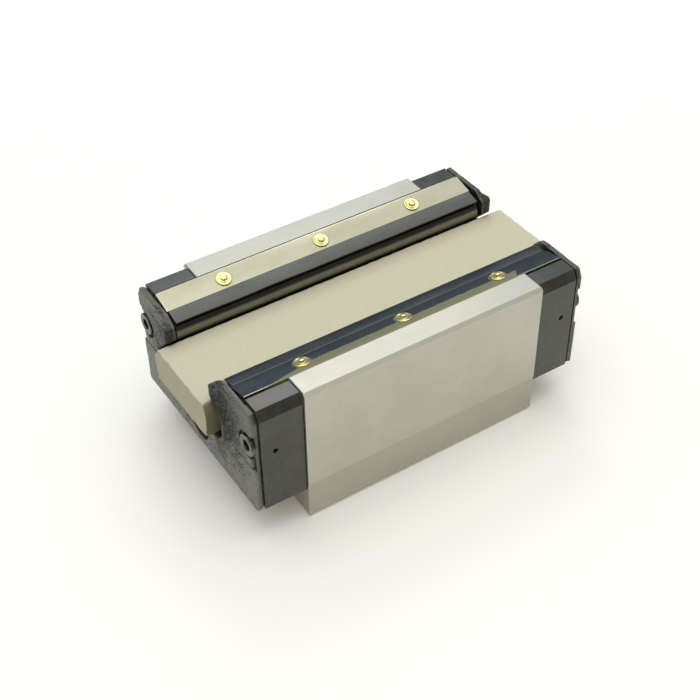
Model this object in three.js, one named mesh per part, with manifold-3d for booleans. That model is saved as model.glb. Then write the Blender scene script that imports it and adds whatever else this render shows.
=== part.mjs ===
// Linear guide carriage, size 45, narrow high type, four rows of caged rollers.
// It lies on its mounting face: +X is the direction of travel, +Z points from the mounting face to the
// rail, and the origin is the centre of the mounting face. Millimetres. "Left" is +Y, "front" is -X.
import * as THREE from 'three';
import { mergeVertices } from 'three/addons/utils/BufferGeometryUtils.js';
import Module from 'manifold-3d';

const wasm = await Module();
wasm.setup();

// ---------------------------------------------------------------- driving dimensions
const BODY_LENGTH = 101;
const BODY_WIDTH = 86;
const BODY_HEIGHT = 60.5;
const CHANNEL_FLOOR = 31.5;
const HALF_BODY = BODY_LENGTH / 2;
const HALF_WIDTH = BODY_WIDTH / 2;
const GROUND_EDGE = 17;          // height where the ground reference face starts
const GROUND_STEP = 0.25;        // how far the unground band below it stands back

const CAP_DEPTH = 17;
const CAP_HALF_WIDTH = 42;
const CAP_BOTTOM = 13.8;
const CAP_TOP = 59.9;
const CAP_GAP = 0.1;
const LAND_DEPTH = 0.8;          // raised land on the cap, which leaves a groove behind the seal plate
const LAND_INSET = 1.3;

const PLATE_THICKNESS = 0.9;
const SEAL_THICKNESS = 1.1;
const LIP_PROUD = 2.5;           // how far the rail lip stands out of the end seal
const SEAL_HALF_WIDTH = 41.8;
const SEAL_TOP = 59.5;

const CAP_INNER_X = HALF_BODY + CAP_GAP;
const CAP_OUTER_X = HALF_BODY + CAP_DEPTH;
const LAND_X = CAP_OUTER_X + LAND_DEPTH;
const PLATE_X = LAND_X + PLATE_THICKNESS;
const SEAL_X = PLATE_X + SEAL_THICKNESS;
const LIP_X = SEAL_X + LIP_PROUD;

const STRIP_OUTER_Y = 32.4;
const STRIP_INNER_Y = 23.4;
const STRIP_TOP = 60.45;         // at the outer edge
const STRIP_SLOPE = 0.25;
const STRIP_THICKNESS = 1.5;
const STRIP_END_X = 67.4;
const STRIP_SCREW_Y = 27.4;
const STRIP_SCREW_PITCH = 42;
const SCREW_HEAD_GAP = 0.1;

const ROLLER_DIAMETER = 5.4;
const ROLLER_LENGTH = 5;
const ROLLER_PITCH = 7.2;
const CAGE_THICKNESS = 1.6;
const TURN_CLEARANCE = 0.4;
const TUBE_CLEARANCE = 0.25;

const TUBE_RADIUS = 4.6;
const TUBE_BORE_RADIUS = 4.75;

const MOUNT_PITCH = 60;
const MOUNT_HOLE_RADIUS = 4.3;
const MOUNT_HOLE_DEPTH = 17;

const END_SCREW_Y = 37.5;
const END_SCREW_Z = 44;
const END_SCREW_HEAD_RADIUS = 4.3;
const END_SCREW_SHANK_RADIUS = 2.4;
const END_SCREW_PROUD = 0.4;     // how far its head stands above the flat face of the seal
const SCREW_CLEARANCE = 0.3;     // between a shank and the pieces that it passes through
const STRIP_SCREW_SHANK_RADIUS = 1.2;

const PORT_Z = 23.2;             // lubrication port in the middle of each end
const PORT_RECESS_RADIUS = 6.2;
const PORT_OPENING_RADIUS = 6.6;
const PLUG_RADIUS = 3;
const PLUG_CLEARANCE = 0.1;

// Facets round a full circle. The fine surface belongs to the visual model.
const ROUND_FINE = 24;
const ROUND = 16;
const ROUND_SMALL = 10;
const TURN_STEPS = 8;

const DUMMY_HALF_LENGTH = 77.25;
const DUMMY_OFFSET = 1.1;        // the loose dummy rail rests a little towards the rear

// Both rows run straight between the roller's place on the raceway and the return bore.
// tilt is the roller's turn about the travel axis on the raceway. It is level in the return bore.
const ROWS = {
  tip: { race: [21.2, 49.9], back: [34.2, 51.4], tilt: -Math.PI / 4 },
  web: { race: [23.5, 33.5], back: [35, 33.5], tilt: Math.PI / 4 },
};
const SIDES = { left: 1, right: -1 };
const ENDS = { front: -1, rear: 1 };

// ---------------------------------------------------------------- solids and meshes
function toSolid(geometry) {
  const bare = geometry.clone();
  bare.deleteAttribute('normal');
  bare.deleteAttribute('uv');
  const merged = mergeVertices(bare, 1e-5);
  return new wasm.Manifold(new wasm.Mesh({
    numProp: 3,
    vertProperties: new Float32Array(merged.attributes.position.array),
    triVerts: new Uint32Array(merged.index.array),
  }));
}

function toGeometry(solid) {
  const mesh = solid.getMesh();
  const geometry = new THREE.BufferGeometry();
  geometry.setAttribute('position', new THREE.BufferAttribute(new Float32Array(mesh.vertProperties), 3));
  geometry.setIndex(new THREE.BufferAttribute(new Uint32Array(mesh.triVerts), 1));
  geometry.computeVertexNormals();
  return geometry;
}

// A profile of [y, z] points, extruded along X from x0 to x1.
function alongX(points, x0, x1) {
  const shape = new THREE.Shape(points.map(([y, z]) => new THREE.Vector2(y, z)));
  const geometry = new THREE.ExtrudeGeometry(shape, { depth: x1 - x0, bevelEnabled: false });
  const axes = new THREE.Matrix4().makeBasis(
    new THREE.Vector3(0, 1, 0), new THREE.Vector3(0, 0, 1), new THREE.Vector3(1, 0, 0));
  geometry.applyMatrix4(axes.setPosition(x0, 0, 0));
  return toSolid(geometry);
}

// A profile of [x, z] points, extruded along Y through the whole width.
function alongY(points, halfDepth) {
  const shape = new THREE.Shape(points.map(([x, z]) => new THREE.Vector2(x, z)));
  const geometry = new THREE.ExtrudeGeometry(shape, { depth: 2 * halfDepth, bevelEnabled: false });
  geometry.rotateX(Math.PI / 2);
  geometry.translate(0, halfDepth, 0);
  return toSolid(geometry);
}

function cylinder(radius, height, axis, centre, segments = ROUND) {
  const geometry = new THREE.CylinderGeometry(radius, radius, height, segments);
  if (axis === 'x') geometry.rotateZ(Math.PI / 2);
  if (axis === 'z') geometry.rotateX(Math.PI / 2);
  geometry.translate(...centre);
  return toSolid(geometry);
}

function box(low, high) {
  const size = high.map((value, axis) => value - low[axis]);
  const geometry = new THREE.BoxGeometry(...size);
  geometry.translate(...low.map((value, axis) => value + size[axis] / 2));
  return toSolid(geometry);
}

// The full outline of a profile that is the same on both sides. half runs from y = 0 round the +Y side
// back to y = 0.
function bothSides(half) {
  const mirrored = half.filter(([y]) => y !== 0).reverse().map(([y, z]) => [-y, z]);
  return [...half, ...mirrored];
}

function oneSide(points, side) {
  const placed = points.map(([y, z]) => [side * y, z]);
  return side < 0 ? placed.reverse() : placed;
}

const group = new THREE.Group();

function addPiece(name, solid, finish) {
  const mesh = new THREE.Mesh(toGeometry(solid), new THREE.MeshStandardMaterial(finish));
  mesh.name = name;
  group.add(mesh);
  return mesh;
}

const FINISH = {
  steel: { color: 0xb9b6a6, roughness: 0.35, metalness: 0.9 },
  plate: { color: 0x8c8c82, roughness: 0.45, metalness: 0.8 },
  strip: { color: 0xc8c5a0, roughness: 0.25, metalness: 0.85 },
  screw: { color: 0x3a3b3a, roughness: 0.4, metalness: 0.8 },
  brass: { color: 0xe6cf6e, roughness: 0.25, metalness: 0.95 },
  cap: { color: 0x3b3d3c, roughness: 0.5, metalness: 0 },
  seal: { color: 0x5c605c, roughness: 0.75, metalness: 0 },
  lip: { color: 0x4a4f50, roughness: 0.55, metalness: 0 },
  resin: { color: 0x242424, roughness: 0.55, metalness: 0 },
  roller: { color: 0xc9cacb, roughness: 0.15, metalness: 1 },
  board: { color: 0xcbc3a5, roughness: 0.85, metalness: 0 },
};

// ---------------------------------------------------------------- outlines shared by several pieces
const stripTopAt = (y) => STRIP_TOP - STRIP_SLOPE * (STRIP_OUTER_Y - y);
const stripSeatAt = (y, gap) => stripTopAt(y) - STRIP_THICKNESS - gap;

// The rail opening of the end caps, from the inner leg tip to the channel's middle.
// It stands back behind the tip retainer, which runs through the cap.
const CAP_OPENING = [
  [23.4, 56.3], [23.1, 56.1], [23.05, 55.8], [20.8, 53.7], [17.45, 49.4], [17.45, 49.15], [22.9, 43.7],
  [22.9, 36.8], [19.7, 33.6], [0, 33.6],
];
// The rail opening of the end seals follows the rail more closely.
const SEAL_OPENING = [[15.7, 55.9], [15.7, 50.9], [22.7, 43.9], [22.7, 36.7], [19.5, 33.5], [0, 33.5]];

// ---------------------------------------------------------------- steel body
function bodyProfile() {
  const chamfer = 1.25;
  const tipChamfer = 1.2;
  const low = HALF_WIDTH - GROUND_STEP;
  return bothSides([
    [0, 0],
    [low - chamfer, 0],
    [low, chamfer],
    [low, GROUND_EDGE - GROUND_STEP],
    [HALF_WIDTH, GROUND_EDGE],
    [HALF_WIDTH, BODY_HEIGHT - tipChamfer],
    [HALF_WIDTH - tipChamfer, BODY_HEIGHT],
    [STRIP_OUTER_Y + 0.2, BODY_HEIGHT],
    [STRIP_OUTER_Y + 0.2, stripSeatAt(STRIP_OUTER_Y, 0.1)],
    [24.2, stripSeatAt(24.2, 0.1)],
    // raceway of the row near the leg tip
    [21.06, 53.86],
    [25.16, 49.76],
    // pocket of the middle retainer
    [27.9, 47],
    [27.9, 34.1],
    // raceway of the row near the web
    [27.46, 33.64],
    [23.36, 29.54],
    [21.4, CHANNEL_FLOOR],
    [0, CHANNEL_FLOOR],
  ]);
}

function carriageBody() {
  const footChamfer = 1.2;
  const tipChamfer = 0.4;
  let body = alongX(bodyProfile(), -HALF_BODY, HALF_BODY);
  body = body.intersect(alongY([
    [-HALF_BODY + footChamfer, 0],
    [HALF_BODY - footChamfer, 0],
    [HALF_BODY, footChamfer],
    [HALF_BODY, BODY_HEIGHT - tipChamfer],
    [HALF_BODY - tipChamfer, BODY_HEIGHT],
    [-HALF_BODY + tipChamfer, BODY_HEIGHT],
    [-HALF_BODY, BODY_HEIGHT - tipChamfer],
    [-HALF_BODY, footChamfer],
  ], HALF_WIDTH + 1));
  const mouth = new THREE.CylinderGeometry(MOUNT_HOLE_RADIUS, MOUNT_HOLE_RADIUS + 1, 1, ROUND);
  mouth.rotateX(Math.PI / 2);
  for (const x of [-MOUNT_PITCH / 2, MOUNT_PITCH / 2]) {
    for (const y of [-MOUNT_PITCH / 2, MOUNT_PITCH / 2]) {
      const drillTop = MOUNT_HOLE_DEPTH;
      body = body.subtract(cylinder(MOUNT_HOLE_RADIUS, drillTop + 1, 'z', [x, y, (drillTop - 1) / 2]));
      body = body.subtract(toSolid(mouth.clone().translate(x, y, 0.5 - 0.02)));
    }
  }
  for (const side of Object.values(SIDES)) {
    for (const { back: [y, z] } of Object.values(ROWS)) {
      body = body.subtract(cylinder(TUBE_BORE_RADIUS, BODY_LENGTH + 2, 'x', [0, side * y, z]));
    }
    for (const column of [-1, 0, 1]) {
      body = body.subtract(stripScrewHole(side, column * STRIP_SCREW_PITCH, STRIP_SCREW_SHANK_RADIUS + 0.15));
    }
    for (const end of Object.values(ENDS)) {
      const place = [end * (HALF_BODY - 7), side * END_SCREW_Y, END_SCREW_Z];
      body = body.subtract(cylinder(END_SCREW_SHANK_RADIUS + 0.2, 16, 'x', place, ROUND_SMALL));
    }
  }
  return body;
}

// ---------------------------------------------------------------- leg-tip strips, lips and screws
const stripTilt = (side) => side * Math.atan(STRIP_SLOPE);
const stripScrewSeat = (side, x) => [x, side * STRIP_SCREW_Y, stripTopAt(STRIP_SCREW_Y)];

// The holes lean with the screws, which stand square to the strip.
function stripScrewHole(side, x, radius) {
  const geometry = new THREE.CylinderGeometry(radius, radius, 9, ROUND_SMALL);
  geometry.rotateX(Math.PI / 2 + stripTilt(side));
  geometry.translate(...stripScrewSeat(side, x));
  return toSolid(geometry);
}

function retainerStrip(side) {
  const profile = [
    [STRIP_OUTER_Y, stripTopAt(STRIP_OUTER_Y)],
    [STRIP_INNER_Y, stripTopAt(STRIP_INNER_Y)],
    [STRIP_INNER_Y, stripTopAt(STRIP_INNER_Y) - STRIP_THICKNESS],
    [STRIP_OUTER_Y, stripTopAt(STRIP_OUTER_Y) - STRIP_THICKNESS],
  ];
  let strip = alongX(oneSide(profile, side), -STRIP_END_X, STRIP_END_X);
  for (const column of [-1, 0, 1]) {
    strip = strip.subtract(stripScrewHole(side, column * STRIP_SCREW_PITCH, STRIP_SCREW_SHANK_RADIUS + 0.4));
  }
  return strip;
}

function lipSeal(side) {
  const root = STRIP_INNER_Y - 0.06;
  const profile = [
    [root, stripTopAt(root) - 0.05],
    [17.4, 56.85],
    [17.4, 56.35],
    [20.3, 56.15],
    [root, stripTopAt(root) - STRIP_THICKNESS],
  ];
  return alongX(oneSide(profile, side), -STRIP_END_X + 0.5, STRIP_END_X - 0.5);
}

// Brass screw with a flat flange and a raised centre. Its axis is square to the strip's slope.
function stripScrew() {
  const outline = [
    [0, -4], [STRIP_SCREW_SHANK_RADIUS, -4], [STRIP_SCREW_SHANK_RADIUS, 0],
    [3.1, 0], [3.1, 0.4], [2.8, 0.7], [1.4, 0.75], [1.3, 1.6], [0, 1.6],
  ];
  const geometry = new THREE.LatheGeometry(outline.map(([r, y]) => new THREE.Vector2(r, y)), ROUND);
  geometry.rotateX(Math.PI / 2);
  return toSolid(geometry);
}

// ---------------------------------------------------------------- roller loops
// Place and frame of a loop's section at distance s along it. The loop runs along the raceway towards
// +X, round the rear turn, back through the return bore and round the front turn. "outward" points away
// from the loop's middle, and "across" is the roller's axis.
function loopFrame(row, side, s) {
  const race = new THREE.Vector3(0, row.race[0], row.race[1]);
  const back = new THREE.Vector3(0, row.back[0], row.back[1]);
  const lateral = back.clone().sub(race);
  const radius = lateral.length() / 2;
  lateral.normalize();
  const travel = new THREE.Vector3(1, 0, 0);
  const plane = new THREE.Vector3().crossVectors(travel, lateral);
  const middle = race.clone().add(back).multiplyScalar(0.5);
  const turn = Math.PI * radius;
  const length = 2 * (BODY_LENGTH + turn);
  const place = ((s % length) + length) % length;
  let along = 0;
  let angle = 0;
  if (place < BODY_LENGTH) {
    along = -HALF_BODY + place;
  } else if (place < BODY_LENGTH + turn) {
    along = HALF_BODY;
    angle = (place - BODY_LENGTH) / radius;
  } else if (place < 2 * BODY_LENGTH + turn) {
    along = HALF_BODY - (place - BODY_LENGTH - turn);
    angle = Math.PI;
  } else {
    along = -HALF_BODY;
    angle = Math.PI + (place - 2 * BODY_LENGTH - turn) / radius;
  }
  const radial = lateral.clone().multiplyScalar(-Math.cos(angle)).addScaledVector(travel, Math.sin(angle));
  const centre = middle.clone().addScaledVector(radial, radius).addScaledVector(travel, along);
  const roll = row.tilt * (1 + Math.cos(angle)) / 2;
  const outward = radial.clone().multiplyScalar(Math.cos(roll)).addScaledVector(plane, Math.sin(roll));
  const across = radial.clone().multiplyScalar(-Math.sin(roll)).addScaledVector(plane, Math.cos(roll));
  for (const vector of [centre, outward, across]) vector.y *= side;
  return { centre, outward, across, length, turn };
}

// A closed solid through rings of four corners each. A looped sweep joins its last ring to its first.
function sweepRings(rings, looped) {
  const positions = rings.flatMap((ring) => ring.flatMap((corner) => corner.toArray()));
  const index = [];
  const spans = looped ? rings.length : rings.length - 1;
  for (let i = 0; i < spans; i += 1) {
    const here = 4 * i;
    const next = 4 * ((i + 1) % rings.length);
    for (let k = 0; k < 4; k += 1) {
      const m = (k + 1) % 4;
      index.push(here + k, next + k, next + m, here + k, next + m, here + m);
    }
  }
  if (!looped) {
    const last = 4 * (rings.length - 1);
    index.push(0, 1, 2, 0, 2, 3, last, last + 2, last + 1, last, last + 3, last + 2);
  }
  let volume = 0;
  const corner = (i) => new THREE.Vector3().fromArray(positions, 3 * i);
  for (let i = 0; i < index.length; i += 3) {
    const [a, b, c] = [corner(index[i]), corner(index[i + 1]), corner(index[i + 2])];
    volume += a.dot(b.cross(c));
  }
  if (volume < 0) index.reverse();
  const geometry = new THREE.BufferGeometry();
  geometry.setAttribute('position', new THREE.BufferAttribute(new Float32Array(positions), 3));
  geometry.setIndex(index);
  return toSolid(geometry);
}

function loopRing(row, side, s, halfThickness, halfWidth) {
  const { centre, outward, across } = loopFrame(row, side, s);
  return [[1, 1], [1, -1], [-1, -1], [-1, 1]].map(([u, w]) => centre.clone()
    .addScaledVector(outward, u * halfThickness)
    .addScaledVector(across, w * halfWidth));
}

// The rollers are six-sided here and are joined by the cage strip into one flexible loop.
function rollerChain(row, side) {
  const { length } = loopFrame(row, side, 0);
  const count = Math.floor(length / ROLLER_PITCH);
  const pitch = length / count;
  const radius = ROLLER_DIAMETER / 2;
  const rings = [];
  for (let i = 0; i < count; i += 1) {
    for (const [offset, thickness] of [
      [-0.96, CAGE_THICKNESS / 2], [-0.5, 0.9 * radius], [0.5, 0.9 * radius], [0.96, CAGE_THICKNESS / 2],
    ]) {
      rings.push(loopRing(row, side, (i + 0.5) * pitch + offset * radius, thickness, ROLLER_LENGTH / 2));
    }
  }
  return sweepRings(rings, true);
}

// The space that a chain needs inside an end cap: the half turn and a short straight on each side of it.
function turnSpace(row, side, end) {
  const { turn } = loopFrame(row, side, 0);
  const start = end > 0 ? BODY_LENGTH : 2 * BODY_LENGTH + turn;
  const straight = 2;
  const rings = [];
  for (let i = -1; i <= TURN_STEPS + 1; i += 1) {
    const inside = Math.min(Math.max(i, 0), TURN_STEPS) / TURN_STEPS * turn;
    const beyond = i < 0 ? -straight : (i > TURN_STEPS ? straight : 0);
    const halfThickness = ROLLER_DIAMETER / 2 + TURN_CLEARANCE;
    const halfWidth = ROLLER_LENGTH / 2 + TURN_CLEARANCE;
    rings.push(loopRing(row, side, start + inside + beyond, halfThickness, halfWidth));
  }
  return sweepRings(rings, false);
}

// The liner's slot is turned with the rollers, which run square to the loop's plane here.
function returnTube(row, side) {
  const { turn } = loopFrame(row, side, 0);
  const start = BODY_LENGTH + turn;
  const halfThickness = ROLLER_DIAMETER / 2 + TUBE_CLEARANCE;
  const halfWidth = ROLLER_LENGTH / 2 + TUBE_CLEARANCE;
  const slot = sweepRings([start, start + BODY_LENGTH - 1e-3].map(
    (s) => loopRing(row, side, s, halfThickness, halfWidth)), false);
  const [y, z] = row.back;
  return cylinder(TUBE_RADIUS, BODY_LENGTH - 0.2, 'x', [0, side * y, z]).subtract(slot);
}

// Two half-round noses, one inside each turn of a leg, joined by a web that lies on the steel.
function returnGuide(side, end) {
  const face = CAP_INNER_X;
  const webThickness = 1.5;
  const noses = [
    { y: 27.9, z: 50.6, radius: 2.2, halfHeight: 2.4 },
    { y: 29.25, z: 33.5, radius: 1.6, halfHeight: 2.4 },
  ];
  let guide = box([face, 27.4, 33.5], [face + webThickness, 29.4, 50.6]);
  for (const { y, z, radius, halfHeight } of noses) {
    const nose = cylinder(radius, 2 * halfHeight, 'z', [face, y, z]);
    guide = guide.add(nose.intersect(box([face, y - 5, z - 5], [face + 5, y + 5, z + 5])));
  }
  return mirrored(guide, side, end);
}

function retainerBar(points, side, halfLength) {
  return alongX(oneSide(points, side), -halfLength, halfLength);
}

// Mirrors a solid made for the rear left leg to another leg.
function mirrored(solid, side, end) {
  let result = solid;
  if (side < 0) result = result.mirror([0, 1, 0]);
  if (end < 0) result = result.mirror([1, 0, 0]);
  return result;
}

// ---------------------------------------------------------------- end assemblies
// Built for the rear end and mirrored to the front.
function capProfile(inset) {
  const side = CAP_HALF_WIDTH - inset;
  const top = CAP_TOP - inset;
  const bottom = CAP_BOTTOM + inset;
  return bothSides([
    [0, bottom],
    [side - 0.6, bottom],
    [side, bottom + 0.6],
    [side, top - 4],
    [side - 2, top],
    [STRIP_OUTER_Y + 0.7, top],
    [STRIP_OUTER_Y + 0.7, stripSeatAt(STRIP_OUTER_Y, 0.2)],
    ...CAP_OPENING,
  ]);
}

function endCap(end) {
  let cap = alongX(capProfile(0), CAP_INNER_X, CAP_OUTER_X);
  cap = cap.add(alongX(capProfile(LAND_INSET), CAP_OUTER_X - 1, LAND_X));
  for (const side of Object.values(SIDES)) {
    for (const row of Object.values(ROWS)) {
      cap = cap.subtract(turnSpace(row, side, 1));
    }
    // seat of the return guide
    const [near, far] = side > 0 ? [27.1, 29.7] : [-29.7, -27.1];
    cap = cap.subtract(box([CAP_INNER_X - 1, near, 33.2], [CAP_INNER_X + 1.9, far, 50.9]));
    for (const [y, z, radius] of [[27.9, 50.6, 2.5], [29.25, 33.5, 1.9]]) {
      cap = cap.subtract(cylinder(radius, 5.4, 'z', [CAP_INNER_X, side * y, z]));
    }
    const screwPlace = [60, side * END_SCREW_Y, END_SCREW_Z];
    cap = cap.subtract(cylinder(END_SCREW_SHANK_RADIUS + SCREW_CLEARANCE, 24, 'x', screwPlace, ROUND_SMALL));
    cap = cap.subtract(cylinder(1, 2.5, 'y', [62, side * (CAP_HALF_WIDTH - 1), 40.3], ROUND_SMALL));
  }
  // lubrication port: a recess, then a bore that the plug closes
  cap = cap.subtract(cylinder(PORT_RECESS_RADIUS, 3, 'x', [LAND_X, 0, PORT_Z]));
  cap = cap.subtract(cylinder(PLUG_RADIUS + PLUG_CLEARANCE, 40, 'x', [60, 0, PORT_Z]));
  return mirrored(cap, 1, end);
}

function lubePlug(end) {
  const plug = cylinder(PLUG_RADIUS, 5, 'x', [63.5, 0, PORT_Z]);
  const socket = cylinder(1.7, 2.5, 'x', [65.75, 0, PORT_Z], 6);
  return mirrored(plug.subtract(socket), 1, end);
}

function sealProfile() {
  return bothSides([
    [0, CAP_BOTTOM],
    [SEAL_HALF_WIDTH - 1, CAP_BOTTOM],
    [SEAL_HALF_WIDTH, CAP_BOTTOM + 1],
    [SEAL_HALF_WIDTH, SEAL_TOP - 3.6],
    [SEAL_HALF_WIDTH - 1.8, SEAL_TOP],
    [20.6, SEAL_TOP],
    ...SEAL_OPENING,
  ]);
}

function sealPlate(end) {
  let plate = alongX(sealProfile(), LAND_X, PLATE_X);
  for (const side of Object.values(SIDES)) {
    const place = [LAND_X, side * END_SCREW_Y, END_SCREW_Z];
    plate = plate.subtract(cylinder(END_SCREW_SHANK_RADIUS + SCREW_CLEARANCE, 4, 'x', place, ROUND_SMALL));
  }
  plate = plate.subtract(cylinder(PORT_OPENING_RADIUS, 4, 'x', [LAND_X, 0, PORT_Z], ROUND_FINE));
  return mirrored(plate, 1, end);
}

// The band on which the rail lip stands, which follows the opening and the inner leg tips.
function lipBand() {
  const inner = SEAL_OPENING;
  const outer = [[0, 30.9], [20.6, 30.9], [25.3, 35.6], [25.3, 45], [19.6, 50.7], [19.4, 58.8]];
  return bothSides([...outer, ...inner]);
}

// Each screw head sits in a round pocket of the rubber, whose outer edge steps back beside the head.
function screwPocket(side) {
  const bottom = 34.1;
  const top = 50.6;
  const reach = 40.1;
  const low = [LAND_X, side > 0 ? reach : -50, bottom];
  const high = [LIP_X, side > 0 ? 50 : -reach, top];
  const round = cylinder(5.7, 8, 'x', [PLATE_X + 2, side * END_SCREW_Y, END_SCREW_Z], ROUND_FINE);
  return round.add(box(low, high));
}

function endSeal(end) {
  let seal = alongX(sealProfile(), PLATE_X, SEAL_X);
  seal = seal.add(alongX(lipBand(), PLATE_X, LIP_X));
  for (const side of Object.values(SIDES)) seal = seal.subtract(screwPocket(side));
  seal = seal.subtract(cylinder(PORT_OPENING_RADIUS, 8, 'x', [SEAL_X, 0, PORT_Z], ROUND_FINE));
  return mirrored(seal, 1, end);
}

function endScrew(side, end) {
  const place = (x) => [x, side * END_SCREW_Y, END_SCREW_Z];
  const headBase = PLATE_X + 0.02;
  const headTop = SEAL_X + END_SCREW_PROUD;
  const shankEnd = HALF_BODY - 13;
  const shankMiddle = (headBase + 0.5 + shankEnd) / 2;
  const headMiddle = place((headTop + headBase) / 2);
  const shankLength = headBase + 0.5 - shankEnd;
  let screw = cylinder(END_SCREW_HEAD_RADIUS, headTop - headBase, 'x', headMiddle, ROUND_FINE);
  screw = screw.add(cylinder(END_SCREW_SHANK_RADIUS, shankLength, 'x', place(shankMiddle), ROUND_SMALL));
  screw = screw.subtract(cylinder(2.2, 3, 'x', place(headTop), 6));
  return mirrored(screw, 1, end);
}

// ---------------------------------------------------------------- dummy rail
function dummyRail() {
  const profile = bothSides([
    [0, 34.6], [17.7, 34.6], [18.1, 35], [18.8, 39], [19.4, 43.5], [18.9, 46], [16.9, 48.7],
    [16.4, 49.1], [0, 49.1],
  ]);
  return alongX(profile, DUMMY_OFFSET - DUMMY_HALF_LENGTH, DUMMY_OFFSET + DUMMY_HALF_LENGTH);
}

// ---------------------------------------------------------------- assembly
const MIDDLE_BAR = [[27.6, 34.8], [27.6, 46.6], [24.9, 49.3], [22.9, 47.3], [22.9, 38.1], [26.9, 34.1]];
const TIP_BAR = [[17.1, 49.5], [17.35, 49.55], [20.65, 53.8], [22.9, 55.9], [20.2, 55.5], [17.5, 54.5]];

addPiece('carriage_body', carriageBody(), FINISH.steel);
for (const [endName, end] of Object.entries(ENDS)) {
  addPiece(`end_cap_${endName}`, endCap(end), FINISH.cap);
  addPiece(`seal_plate_${endName}`, sealPlate(end), FINISH.plate);
  addPiece(`end_seal_${endName}`, endSeal(end), FINISH.seal);
  addPiece(`lube_plug_${endName}`, lubePlug(end), FINISH.screw);
  for (const [sideName, side] of Object.entries(SIDES)) {
    addPiece(`end_screw_${endName}_${sideName}`, endScrew(side, end), FINISH.screw);
    addPiece(`return_guide_${endName}_${sideName}`, returnGuide(side, end), FINISH.resin);
  }
}
for (const [sideName, side] of Object.entries(SIDES)) {
  addPiece(`retainer_strip_${sideName}`, retainerStrip(side), FINISH.strip);
  addPiece(`lip_seal_${sideName}`, lipSeal(side), FINISH.lip);
  addPiece(`middle_retainer_${sideName}`, retainerBar(MIDDLE_BAR, side, HALF_BODY - 0.1), FINISH.resin);
  addPiece(`tip_retainer_${sideName}`, retainerBar(TIP_BAR, side, STRIP_END_X - 0.1), FINISH.resin);
  for (const [rowName, row] of Object.entries(ROWS)) {
    addPiece(`roller_chain_${sideName}_${rowName}`, rollerChain(row, side), FINISH.roller);
    addPiece(`return_tube_${sideName}_${rowName}`, returnTube(row, side), FINISH.resin);
  }
  ['front', 'middle', 'rear'].forEach((placeName, place) => {
    const screw = addPiece(`strip_screw_${sideName}_${placeName}`, stripScrew(), FINISH.brass);
    screw.rotation.x = stripTilt(side);
    screw.position.set(...stripScrewSeat(side, (place - 1) * STRIP_SCREW_PITCH));
    screw.position.z += SCREW_HEAD_GAP;
  });
}
addPiece('dummy_rail', dummyRail(), FINISH.board);

export default group;
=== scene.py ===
import math

import bmesh
import bpy
from mathutils import Matrix, Vector, noise


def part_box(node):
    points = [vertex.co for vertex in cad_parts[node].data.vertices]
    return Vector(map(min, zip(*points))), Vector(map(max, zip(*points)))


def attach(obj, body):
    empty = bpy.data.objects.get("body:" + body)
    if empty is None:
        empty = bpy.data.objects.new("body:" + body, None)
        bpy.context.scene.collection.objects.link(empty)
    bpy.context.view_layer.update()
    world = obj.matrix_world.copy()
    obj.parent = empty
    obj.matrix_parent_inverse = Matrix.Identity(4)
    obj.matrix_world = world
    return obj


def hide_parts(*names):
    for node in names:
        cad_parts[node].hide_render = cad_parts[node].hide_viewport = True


# Visual model of the linear guide carriage. Sizes are in millimetres and become metres when a mesh is made.
# +X is the direction of travel and +Z points to the open side of the rail channel.
# "Left" is +Y and "front" is -X.
# Every piece is built for the rear end and the left leg, then mirrored to where it goes.
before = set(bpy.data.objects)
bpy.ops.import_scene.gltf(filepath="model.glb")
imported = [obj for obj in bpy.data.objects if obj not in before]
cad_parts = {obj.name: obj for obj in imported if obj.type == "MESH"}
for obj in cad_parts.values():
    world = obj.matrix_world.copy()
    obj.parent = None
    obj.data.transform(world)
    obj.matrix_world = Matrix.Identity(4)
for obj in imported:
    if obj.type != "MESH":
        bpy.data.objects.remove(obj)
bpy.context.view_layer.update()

MM = 0.001
ENDS = {"front": -1, "rear": 1}
SIDES = {"left": 1, "right": -1}


def span(node):
    """Lowest and highest corner of a CAD node, in millimetres."""
    low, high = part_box(node)
    return low / MM, high / MM


# ---- sizes taken from the frame
BODY = span("carriage_body")[1]
CAP_LOW, CAP = span("end_cap_rear")
PLATE_LOW, PLATE = span("seal_plate_rear")
SEAL_LOW, SEAL = span("end_seal_rear")
STRIP_LOW, STRIP = span("retainer_strip_left")
LIP_LOW, LIP = span("lip_seal_left")
TIP_LOW, TIP = span("tip_retainer_left")
MIDDLE_LOW, MIDDLE = span("middle_retainer_left")
HEAD_LOW, HEAD = span("end_screw_rear_left")
PLUG_LOW, PLUG = span("lube_plug_rear")
DUMMY_LOW, DUMMY = span("dummy_rail")

# ---- sizes of the outlines
CHANNEL_FLOOR = 31.5
GROUND_EDGE = 17.0               # height where the ground side face starts
GROUND_STEP = 0.25
LAND_DEPTH = PLATE_LOW.x - 67.5  # raised land of the end cap, behind the seal plate
LAND_INSET = 1.3
SEAL_FACE = PLATE.x + 1.1        # flat face of the end seal, behind its lip
STRIP_THICKNESS = 1.5
STRIP_SLOPE = (STRIP.z - STRIP_LOW.z - STRIP_THICKNESS) / (STRIP.y - STRIP_LOW.y)
STRIP_SCREW_Y = STRIP_LOW.y + 4
STRIP_SCREW_PITCH = 42
STRIP_CROWN = 0.10               # how far the thin strip bulges between its edges
END_SCREW_Y = (HEAD_LOW.y + HEAD.y) / 2
END_SCREW_Z = (HEAD_LOW.z + HEAD.z) / 2
PORT_Z = (PLUG_LOW.z + PLUG.z) / 2
MOUNT_PITCH = 60
SEAT_GAP = 0.1                   # between a strip and the steel under it

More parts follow.
